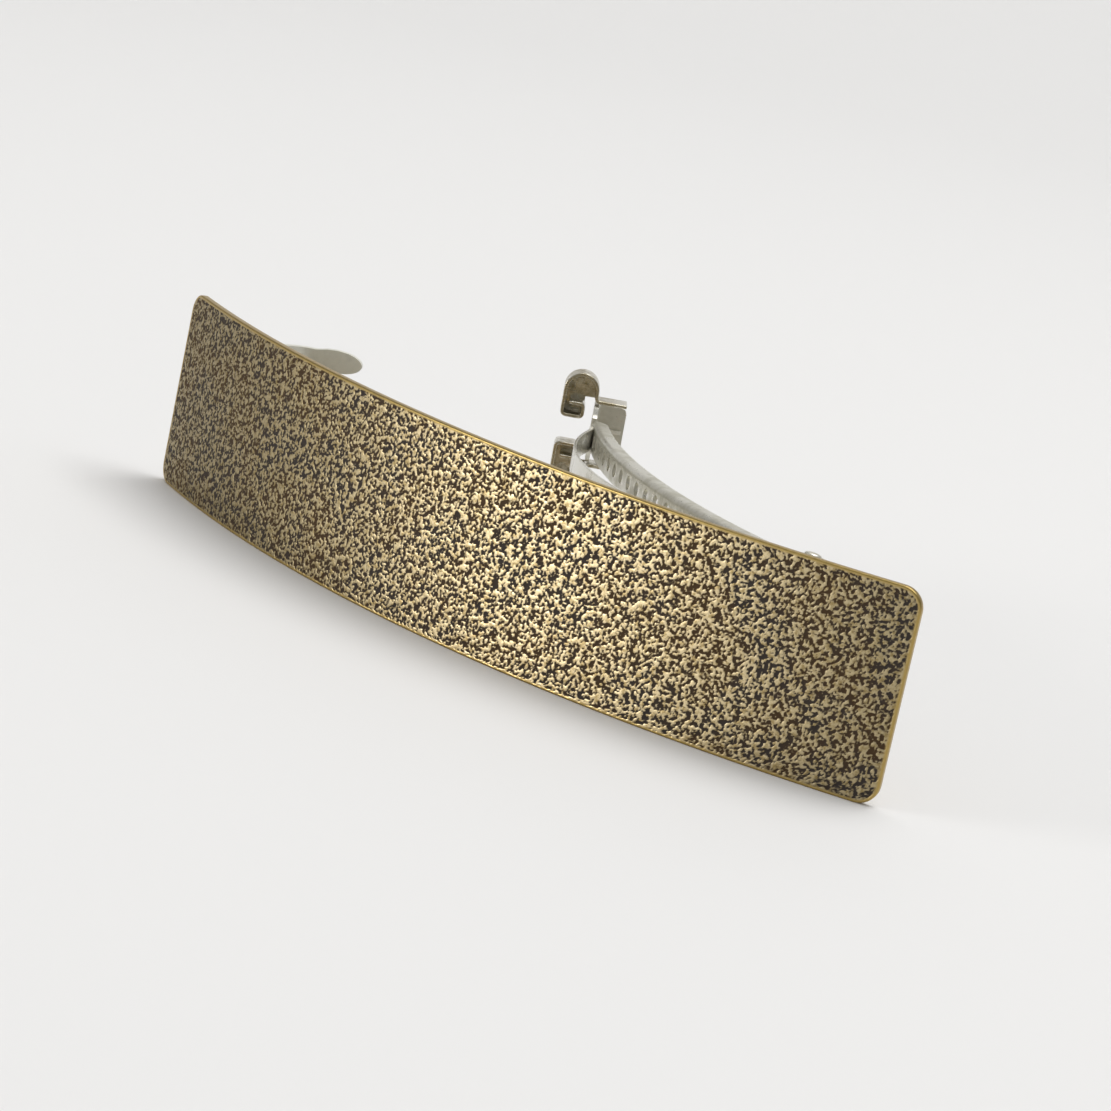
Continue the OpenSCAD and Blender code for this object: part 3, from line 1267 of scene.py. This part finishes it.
@dataclass
class Bond:
    """One bed of adhesive, squeezed out a little from under the base."""

    name: str
    start: float
    bend: Bend = Bend()
    length: float = 20.0
    width: float = 4.2
    low: float = 0.40
    high: float = 0.70
    centre: float = 16.5
    squeeze: float = 0.38
    seed: int = 3
    fillet_steps: Outline = (
        (1.0, 0.0),
        (0.62, 0.10),
        (0.35, 0.28),
        (0.18, 0.55),
        (0.06, 0.9),
        (0.0, 1.0),
    )
    sides: int = 160
    squareness: float = 0.16
    humps: tuple[int, ...] = (5, 9, 14, 23)
    waviness: float = 0.05

    def build(self) -> bpy.types.Object:
        """Makes the bed: a flat pad with a hollow fillet all round.

        Returns:
            The bed of adhesive.
        """
        dice = np.random.default_rng(self.seed)
        count, power = self.sides, self.squareness
        turn = np.linspace(0.0, 2 * math.pi, count, endpoint=False)
        half, tall = self.length / 2 - 0.4, self.width / 2 - 0.1
        along = half * np.sign(np.cos(turn)) * np.abs(np.cos(turn)) ** power
        up = tall * np.sign(np.sin(turn)) * np.abs(np.sin(turn)) ** power
        waves = (
            dice.uniform(0.2, 1.0) * np.sin(k * turn + dice.uniform(0, 6.3)) for k in self.humps
        )
        wave = sum(waves) * self.waviness
        out = np.stack([np.cos(turn), np.sin(turn) * 0.9], axis=1)
        rings = []
        for share, lift in self.fillet_steps:
            spread = (self.squeeze + wave) * share
            ring = self.bend.place(
                self.start + self.length / 2 + along + out[:, 0] * spread,
                self.low + (self.high - self.low) * lift,
                self.centre + up + out[:, 1] * spread,
            )
            rings.append(ring)
        faces: Faces = []
        for ring in range(len(rings) - 1):
            a, b = ring * count, (ring + 1) * count
            for k in range(count):
                n = (k + 1) % count
                faces.append((a + k, a + n, b + n, b + k))
        top = (len(rings) - 1) * count
        halfway = count // 2
        strips = [(0, count - 1, 1), (halfway + 1, halfway, halfway - 1)]
        strips += [(count - k, count - k - 1, k + 1, k) for k in range(1, halfway - 1)]
        faces += [strip[::-1] for strip in strips]
        faces += [tuple(top + v for v in strip) for strip in strips]
        points, name = np.concatenate(rings), self.name + "_bed"
        return Piece(name, points, faces, (GLUE,), Body.HOLDER, Slot.BOND, (self.name,)).make()


@dataclass
class HingePin:
    """The pin, with a domed head peened on each end."""

    layout: ClipLayout
    radius: float = 0.5
    head: float = 2.65
    dome: Outline = ((0.80, 0.0), (0.79, 0.10), (0.70, 0.20), (0.52, 0.26), (0.26, 0.29))
    top: float = 0.30

    def build(self) -> bpy.types.Object:
        """Makes the pin.

        Returns:
            The pin.
        """
        lay, head, r = self.layout, self.head, self.radius
        lean = Matrix.Rotation(math.radians(lay.lean), 4, "X")
        at = Matrix.Translation(lay.hinge()) @ Matrix.Rotation(lay.heading()[0], 4, "Z") @ lean
        upper = [(r, head), *[(a, head + b) for a, b in self.dome], (0.0, head + self.top)]
        lower = [(a, -b) for a, b in reversed(upper)]
        shell = turned([*lower, *upper], at)
        return steel("hinge_pin_turned", shell, (PIN_NICKEL,), Body.HOLDER, "hinge_pin")


@dataclass
class BowRivet:
    """A rivet that holds one end of the bow to the arm."""

    name: str
    layout: ClipLayout
    side: int
    inset: float = 6.4
    strip: float = 0.45
    bow: float = 0.30
    shank: float = 0.4
    dome: Outline = ((0.80, 0.0), (0.79, 0.07), (0.70, 0.15), (0.52, 0.21), (0.26, 0.24))
    top: float = 0.25

    def build(self) -> bpy.types.Object:
        """Makes the rivet, with a dome on each side.

        Returns:
            The rivet.
        """
        half = self.layout.chord() / 2.0
        turn = Matrix.Rotation(math.radians(-90.0), 4, "X")
        at = self.layout.on_strip(half + self.side * (half - self.inset)) @ turn
        low, high = -self.strip / 2, self.strip / 2 + self.bow
        profile = [(0.0, low - self.top), *[(r, low - h) for r, h in reversed(self.dome)]]
        profile += [(self.shank, low), (self.shank, high)]
        profile += [*[(r, high + h) for r, h in self.dome], (0.0, high + self.top)]
        shell = turned(profile, at, 32)
        return steel(self.name + "_domed", shell, (PIN_NICKEL,), Body.ARM, self.name)


@dataclass
class TensionBow:
    """The thin bowed strip that presses the hair, flat at both ends."""

    layout: ClipLayout
    thick: float = 0.3
    width: float = 2.4
    rise: float = 4.6
    strip: float = 0.45
    inset: float = 6.4
    foot: float = 8.2

    def path(self) -> Points:
        """The bow's middle line in the strip's frame.

        Returns:
            Points (x, y), Y towards the plate.
        """
        lay = self.layout
        half = lay.chord() / 2.0
        centre_y = -lay.arm_radius * math.cos(lay.half_angle())
        pad = lay.arm_radius + self.strip / 2 + self.thick / 2
        foot, end = half - self.foot, half - self.inset + 1.4
        foot_y = math.sqrt(pad**2 - foot**2)
        sag = pad - foot_y + self.rise
        radius = (foot**2 + sag**2) / 2.0 / sag
        bow_y = centre_y + foot_y + sag - radius
        spread = np.linspace(-(foot - 1.2), foot - 1.2, 72)
        bow = np.stack([half + spread, bow_y + np.sqrt(radius**2 - spread**2)], axis=1)
        flat = np.linspace(foot + 1.0, end, 8)
        right = np.stack([half + flat, centre_y + np.sqrt(pad**2 - flat**2)], axis=1)
        left = right[::-1] * [-1, 1] + [2 * half, 0]
        knee_r = np.array([half + foot, centre_y + foot_y])
        knee_l = np.array([half - foot, centre_y + foot_y])
        ease = np.linspace(0.0, 1.0, 8)[1:-1, None]
        into = (1 - ease) ** 2 * left[-1] + 2 * ease * (1 - ease) * knee_l + ease**2 * bow[0]
        away = (1 - ease) ** 2 * bow[-1] + 2 * ease * (1 - ease) * knee_r + ease**2 * right[0]
        return np.concatenate([left, into, bow, away, right])

    def build(self) -> bpy.types.Object:
        """Makes the bow, with rounded ends.

        Returns:
            The bow.
        """
        path = self.path()
        share = np.ones(len(path))
        for k, part in enumerate((0.62, 0.86, 0.96)):
            share[k] = share[-1 - k] = part
        shell = ribbon(path, self.thick, self.width, self.layout.strip(), share)
        return steel("bow_strip", shell, (SPRING_NICKEL,), Body.ARM, "tension_bow", 0.07)


@dataclass
class Jaw:
    """One side of the clasp, folded from thin spring sheet."""

    name: str
    body: Body
    side: int
    layout: ClipLayout
    sheet: float = 0.35
    length: float = 3.6
    inset: float = 0.9
    loop: float = 1.85
    loop_up: float = 4.3
    pad_up: float = 3.2
    lip: float = 1.35
    least: float = 0.02

    def path(self) -> Points:
        """The fold's middle line: finger pad, loop, wall and rolled lip.

        Returns:
            Points (towards the plate, up).
        """
        t = self.sheet / 2
        turn = np.linspace(math.pi, 0.0, 22)
        round_ = self.loop - t
        arc = np.stack([np.cos(turn), np.sin(turn)], axis=1) * round_ + [self.loop, self.loop_up]
        foot = fillet([(-3.1, self.pad_up + t), (t, self.pad_up + t), (t, self.loop_up)], 0.45)
        lip, wall, back, top = self.lip + t, 2 * self.loop - t, 1.2 + t, 3.05 - t
        corners = [(wall, self.loop_up), (wall, lip), (back, lip), (back, top), (2.9, top)]
        roll = fillet(corners, 0.42)
        path = np.concatenate([foot[:-1], arc, roll[1:]])
        keep = [0]
        for k in range(1, len(path)):
            if np.linalg.norm(path[k] - path[keep[-1]]) > self.least:
                keep.append(k)
        return path[keep]

    def wall(self, at: Matrix) -> Shell:
        """The end wall on the tip side, which closes the loop.

        Args:
            at: The frame of the fold, Z along the arm.

        Returns:
            Points and faces.
        """
        play, near, r = 0.12, 1.32, self.loop - 0.12
        outline = [(near, self.lip + play), (2 * self.loop - play, self.lip + play)]
        for t in np.linspace(0, math.pi, 25):
            outline.append((self.loop + r * math.cos(t), self.loop_up + r * math.sin(t)))
        outline += [(play, self.pad_up + 0.14), (near, self.pad_up + 0.14)]
        step = Matrix.Translation((0.0, 0.0, self.length / 2 - self.sheet))
        return slab(outline, self.sheet - 0.03, at @ step)

    def build(self) -> bpy.types.Object:
        """Makes the jaw.

        Returns:
            The jaw.
        """
        ahead = Matrix.Translation((-self.inset - self.length / 2, 0.0, 0.0))
        turn = Matrix(((0, 0, 1, 0), (1, 0, 0, 0), (0, self.side, 0, 0), (0, 0, 0, 1)))
        at = self.layout.tip() @ ahead @ turn
        shell = joined(ribbon(self.path(), self.sheet, self.length, at), self.wall(at))
        return steel(self.name + "_folded", shell, (SHADED_JAW_NICKEL,), self.body, self.name, 0.09)


@dataclass
class ClipBase:
    """The base: one sheet with thread holes, two ears and the tongue."""

    layout: ClipLayout
    left: float = -38.2
    right: float = 40.2
    width: float = 5.2
    thick: float = 0.7
    middle: float = 1.05
    holes: tuple[float, ...] = (-36.6, -34.0, 30.4, 33.0)
    hole_radius: float = 0.65
    tongue_along: float = -39.3
    ear_gap: float = 2.0
    ear_thick: float = 0.5
    ear_half: float = 1.4

    def strip(self) -> Shell:
        """The long strip with its four holes and rounded ends.

        Returns:
            Points and faces.
        """
        cell, corner = 1.2, 0.7
        stops = [self.left, *[h + k * cell for h in self.holes for k in (-1, 1)], self.right]
        xs: list[float] = []
        for low, high in zip(stops[:-1], stops[1:]):
            at_hole = 2.3 < high - low < 2.5
            steps = 8 if at_hole else max(1, round((high - low) / 0.6))
            xs += list(np.linspace(low, high, steps + 1))[:-1]
        ends = [corner * (1 - math.cos(t)) for t in np.linspace(0.0, math.pi / 2, 6)]
        xs = sorted({*[round(x, 5) for x in xs], *[round(self.left + e, 5) for e in ends]})
        xs = [x for x in xs if x < self.right - corner - 0.05]
        xs += [self.right - e for e in reversed(ends)]
        half = self.width / 2
        flanks = [k * c for c in (1.7, 2.2, half) for k in (-1, 1)]
        cs = sorted([*np.linspace(-1.2, 1.2, 9), *flanks])
        sheet = CutSheet()
        sheet.grid(xs, cs, lambda x, c: abs(c) < 1.2 and any(abs(x - h) < cell for h in self.holes))
        for hole in self.holes:
            sheet.hole(hole, cell, 1.2, xs, cs, self.hole_radius)

        def place(x: Points, c: Points, out: float) -> Points:
            """Bends the sheet along the plate and rounds its corners.

            Args:
                x: Places along the plate.
                c: Places across it.
                out: Step off the sheet's middle.

            Returns:
                The positions.
            """
            near = np.minimum(x - self.left, self.right - x)
            over = np.clip(corner - near, 0.0, corner)
            limit = half - corner + np.sqrt(corner**2 - over**2)
            c = np.where(np.abs(c) > half - 0.01, np.sign(c) * limit, c)
            return self.layout.bend.place(x, self.middle + out, self.layout.height + c)

        return sheet.solid(place, self.thick)

    def tongue(self) -> Shell:
        """The catch: a neck bent up from the strip and a leaf-shaped head.

        Returns:
            Points and faces.
        """
        mid, neck, leaf, lean = self.middle, 0.8, 5.05, math.radians(145.0)
        down = np.linspace(math.radians(270.0), math.radians(180.0), 12)
        over = np.linspace(math.pi, lean, 10)
        path = [(1.6, mid), (0.6, mid), (-0.2, mid)]
        path += [(-1 + math.cos(t), mid + 1 + math.sin(t)) for t in down]
        path += [(-2.0, y) for y in np.linspace(mid + 1.5, 7.9, 12)]
        path += [(1 + 3 * math.cos(t), 8.3 + 3 * math.sin(t)) for t in over]
        root = np.array(path[-1])
        way = np.array([math.sin(lean), -math.cos(lean)])
        along = leaf * np.sin(np.linspace(0.0, math.pi / 2, 26))[1:]
        path += [tuple(root + way * t) for t in along]
        marks = (0.0, 0.5, 1.3, 2.4, 3.5, 4.2, 4.65, 4.9, 5.0, 5.05)
        halves = (0.8, 0.86, 1.06, 1.15, 1.06, 0.86, 0.62, 0.38, 0.22, 0.06)
        widths = [neck] * (len(path) - len(along)) + list(np.interp(along, marks, halves))
        spot = self.layout.bend.place(self.tongue_along, 0.0, self.layout.height)
        turn = Matrix.Rotation(self.tongue_along / self.layout.bend.radius, 4, "Z")
        return ribbon(path, self.thick - 0.03, 2.0, Matrix.Translation(Vector(spot)) @ turn, widths)

    def ear(self, side: int) -> Shell:
        """One ear: a rounded lug with a flared foot.

        Args:
            side: 1 for the upper ear, -1 for the lower one.

        Returns:
            Points and faces.
        """
        lay = self.layout
        low, high, r = self.middle - 0.2, lay.hinge_out, self.ear_half
        outline = [(-r - 0.55, low), (-r - 0.5, low + 0.3), (-r - 0.2, low + 0.5), (-r, low + 0.95)]
        for t in np.linspace(math.pi, 0.0, 25):
            outline.append((r * math.cos(t), high + r * math.sin(t)))
        outline += [(-x, y) for x, y in reversed(outline[:4])]
        at = Matrix.Translation(Vector(lay.bend.place(lay.hinge_along, 0.0, lay.height)))
        at = at @ Matrix.Rotation(lay.hinge_along / lay.bend.radius, 4, "Z")
        near = self.ear_gap + (0.0 if side > 0 else self.ear_thick)
        return slab(outline, self.ear_thick, at @ Matrix.Translation((0.0, 0.0, side * near)))

    def build(self) -> bpy.types.Object:
        """Makes the base; the tongue gets a paler, more diffuse copy of the nickel as painted
        light.

        Returns:
            The base.
        """
        shells = (self.strip(), self.tongue(), self.ear(1), self.ear(-1))
        marks = [int(number == 1) for number, shell in enumerate(shells) for _ in shell[1]]
        finishes = (NICKEL, LIT_TONGUE_NICKEL)
        shell = joined(*shells)
        return steel("clip_base_sheet", shell, finishes, Body.HOLDER, "clip_base", 0.09, marks)


@dataclass
class ClaspArm:
    """The arm: a punched channel with a rolled knuckle and a wide end."""

    layout: ClipLayout
    width: float = 3.2
    thick: float = 0.45
    flange: float = 1.0
    pitch: float = 3.1
    hole: float = 0.7
    barrel: float = 1.15
    slot: tuple[float, float, float] = (-4.1, -0.6, 1.55)
    end_from: float = -5.0
    end_half: float = 3.0
    tab_half: float = 2.6
    tab_reach: float = 3.3

    def section(self) -> Points:
        """The channel's folded middle line, (up, towards the plate)."""
        half, depth = self.width / 2 - 0.2, self.thick / 2 + self.flange
        return fillet([(-half, -depth), (-half, 0.0), (half, 0.0), (half, -depth)], 0.45, 8)

    def channel(self) -> Shell:
        """The bent channel with its row of holes.

        Returns:
            Points and faces.
        """
        lay, cell, web = self.layout, 1.2, 1.0
        half_turn, chord = lay.half_angle(), lay.chord()
        reach = 2 * half_turn * lay.arm_radius + self.end_from + 0.15
        count = math.floor((chord - 18.0) / self.pitch)
        holes = [
            (math.asin((i - count / 2) * self.pitch / lay.arm_radius) + half_turn) * lay.arm_radius
            for i in range(count + 1)
        ]
        xs: list[float] = list(np.linspace(0.0, holes[0] - cell, 12))[:-1]
        for i, hole in enumerate(holes):
            xs += list(np.linspace(hole - cell, hole + cell, 9))
        xs += list(np.linspace(holes[-1] + cell, reach, 12))[1:]
        fold = Fold(self.section())
        total = fold.lengths[-1]
        flank = np.linspace(web, total / 2, 13)[1:]
        cs = sorted([*np.linspace(-web, web, 9), *flank, *-flank])
        sheet = CutSheet()
        sheet.grid(xs, cs, lambda x, c: abs(c) < web and any(abs(x - h) < cell for h in holes))
        for hole in holes:
            sheet.hole(hole, cell, web, xs, cs, self.hole)

        def place(x: Points, c: Points, out: float) -> Points:
            """Folds the flanges, lower at both ends, and bends the arm.

            Args:
                x: Places along the arm.
                c: Places across the unfolded sheet.
                out: Step off the sheet's middle.

            Returns:
                The positions.
            """
            share = 0.28 + 0.72 * smooth(2.6, 5.2, x) * smooth(0.0, 2.6, reach - 0.2 - x)
            c = np.where(np.abs(c) > web, np.sign(c) * (web + (np.abs(c) - web) * share), c)
            v, n = fold.at(c + total / 2, out)
            turn = x / lay.arm_radius - half_turn
            x_ = chord / 2 + (lay.arm_radius + n) * np.sin(turn)
            y_ = (lay.arm_radius + n) * np.cos(turn) - lay.arm_radius * math.cos(half_turn)
            return moved(lay.strip(), x_, y_, v)

        return sheet.solid(place, self.thick - 0.03)

    def end(self) -> Shell:
        """The wide end: a slotted plate whose tip is folded out as a thumb tab.

        Returns:
            Points and faces.
        """
        corners = [(self.end_from, 0.0), (-0.025, 0.0), (-0.025, -self.tab_reach)]
        fold = Fold(fillet(corners, 0.55, 8))
        total, gap = fold.lengths[-1], self.slot[2]
        first, last = (x - self.end_from for x in self.slot[:2])
        xs = [*np.linspace(0.0, first, 6)[:-1], *np.linspace(first, last, 12)[:-1]]
        xs += [*np.linspace(last, total, 26)[:-1]]
        xs += [total - 0.25, total - 0.08, total]
        xs = sorted(x for x in xs if x <= total)
        cs = sorted([0.0, *[k * c for c in (0.5, 1.0, gap, 1.95, 2.3, 2.65, 3.0) for k in (-1, 1)]])
        sheet = CutSheet()
        sheet.grid(xs, cs, lambda x, c: abs(c) < gap and first < x < last)

        def place(x: Points, c: Points, out: float) -> Points:
            """Widens the plate, narrows and rounds the tab, and folds it out.

            Args:
                x: Places along the unfolded sheet.
                c: Places across it.
                out: Step off the sheet's middle.

            Returns:
                The positions.
            """
            half = 1.75 + (self.end_half - 1.75) * smooth(0.0, 0.9, x)
            half = half - (self.end_half - self.tab_half) * smooth(last - 0.1, last + 0.9, x)
            over = np.clip(x - (total - 0.6), 0.0, 0.6)
            half = half - 0.6 + np.sqrt(0.36 - over**2)
            wide = np.sign(c) * (gap + (np.abs(c) - gap) / (3.0 - gap) * (half - gap))
            v = np.where(np.abs(c) > gap, wide, c)
            return moved(self.layout.tip(), *fold.at(x, out), v)

        return sheet.solid(place, self.thick)

    def knuckle(self) -> Shell:
        """The end rolled round the pin.

        Returns:
            Points and faces.
        """
        round_ = self.barrel - self.thick / 2 - 0.02
        turn = np.radians(np.linspace(-88.0, -88.0 - 318.0, 54))
        path = np.stack([round_ * np.cos(turn), round_ * np.sin(turn)], axis=1)
        path = np.concatenate([[[0.75, -round_ - 0.01], [0.35, -round_]], path])
        lean = Matrix.Rotation(math.radians(self.layout.lean), 4, "X")
        return ribbon(path, self.thick - 0.04, self.width - 0.06, self.layout.arm() @ lean)

    def rib(self) -> Shell:
        """The short rib pressed in the thumb tab."""
        path = [(-0.36, -3.0), (-0.42, -2.6), (-0.42, -0.9), (-0.36, -0.5)]
        return ribbon(path, 0.42, 0.4, self.layout.tip())

    def build(self) -> bpy.types.Object:
        """Makes the arm out of its four parts."""
        shell = joined(self.channel(), self.end(), self.knuckle(), self.rib())
        return steel("clasp_arm_sheet", shell, (NICKEL,), Body.ARM, "clasp_arm", 0.07)


# ---------------------------------------------------------------- the studio


@dataclass
class Studio:
    """The table, the soft lights and the camera."""

    camera_at: Triple = (247.1, -264.6, 96.9)
    right: Triple = (0.702, 0.6823, 0.2044)
    up: Triple = (-0.3083, 0.0324, 0.9507)
    back: Triple = (0.642, -0.7304, 0.233)
    lens: float = 129.6
    table_half: float = 3.2
    table_from: float = -2.0
    table_flat: float = 0.5
    table_curve: float = 0.6
    wall_rise: float = 1.6

    def table(self) -> None:
        """A pale table that curves up into a wall far behind."""
        flat, curve = self.table_flat, self.table_curve
        run = [(self.table_from, 0.0), (flat, 0.0)]
        for t in np.linspace(0.1, math.pi / 2, 16):
            run.append((flat + curve * math.sin(t), curve * (1 - math.cos(t))))
        run.append((flat + curve, curve + self.wall_rise))
        ahead = Vector((-self.back[0], -self.back[1], 0.0)).normalized()
        across = Vector((-ahead.y, ahead.x, 0.0))
        points, faces = [], []
        for far, high in run:
            for side in (-self.table_half, self.table_half):
                points.append(ahead * far + across * side + Vector((0.0, 0.0, high)))
        for k in range(len(run) - 1):
            faces.append((2 * k, 2 * k + 1, 2 * k + 3, 2 * k + 2))
        mesh = bpy.data.meshes.new("table")
        mesh.from_pydata(points, [], faces)
        mesh.polygons.foreach_set("use_smooth", [True] * len(faces))
        mesh.materials.append(FLOOR.material())
        shown("table", mesh)

    def light(
        self, name: str, at: Triple, size: float, power: float, tint: Colour = (1.0, 1.0, 1.0)
    ) -> None:
        """A square soft light that points at the barrette.

        Args:
            name: The light's name.
            at: Its place, in metres.
            size: Its side.
            power: Its power in watts.
            tint: Its colour.
        """
        data = bpy.data.lights.new(name, "AREA")
        data.shape, data.size, data.energy, data.color = "SQUARE", size, power, tint
        made = shown(name, data)
        made.location = at
        way = Vector((0.0, 0.0, 0.01)) - Vector(at)
        made.rotation_euler = way.to_track_quat("-Z", "Y").to_euler()

    def air(self, tone: Colour = (0.95, 0.97, 1.0), strength: float = 0.36) -> None:
        """The even light all round.

        Args:
            tone: Its colour.
            strength: Its strength.
        """
        world = bpy.data.worlds.new("air")
        world.use_nodes = True
        ground = world.node_tree.nodes["Background"]
        ground.inputs["Color"].default_value = (*tone, 1.0)
        ground.inputs["Strength"].default_value = strength
        bpy.context.scene.world = world

    def camera(self) -> None:
        """A long lens from the front right, a little above and rolled."""
        data = bpy.data.cameras.new("camera")
        data.lens, data.sensor_width = self.lens, 36.0
        data.clip_start, data.clip_end = 0.01, 20.0
        made = shown("camera", data)
        axes = Matrix((self.right, self.up, self.back)).transposed().to_4x4()
        made.matrix_world = Matrix.Translation(Vector(self.camera_at) * MM) @ axes
        bpy.context.scene.camera = made

    def build(self) -> None:
        """Sets up the table, the lights and the camera."""
        self.table()
        self.air()
        bpy.context.scene.view_settings.view_transform = "Standard"
        self.light("key_light", (-0.42, -0.72, 0.12), 0.34, 3.2, (1.0, 0.985, 0.96))
        self.light("top_light", (0.15, 0.25, 1.2), 0.9, 12.0)
        self.camera()
        LOG.info("studio: table, two lights and camera")


def main() -> None:
    """Builds the barrette and the studio, and reports each piece."""
    logging.basicConfig(level=logging.INFO, format="%(name)s %(message)s")
    layout = ClipLayout()
    Studio().build()
    FacePlate().build()
    Bond("bond_left", start=-34.0, seed=3).build()
    Bond("bond_right", start=12.0, seed=8).build()
    ClipBase(layout).build()
    HingePin(layout).build()
    ClaspArm(layout).build()
    TensionBow(layout).build()
    BowRivet("bow_rivet_hinge", layout, -1).build()
    BowRivet("bow_rivet_tip", layout, 1).build()
    Jaw("jaw_upper", Body.UPPER_JAW, 1, layout).build()
    Jaw("jaw_lower", Body.LOWER_JAW, -1, layout).build()


if __name__ == "__main__":
    main()
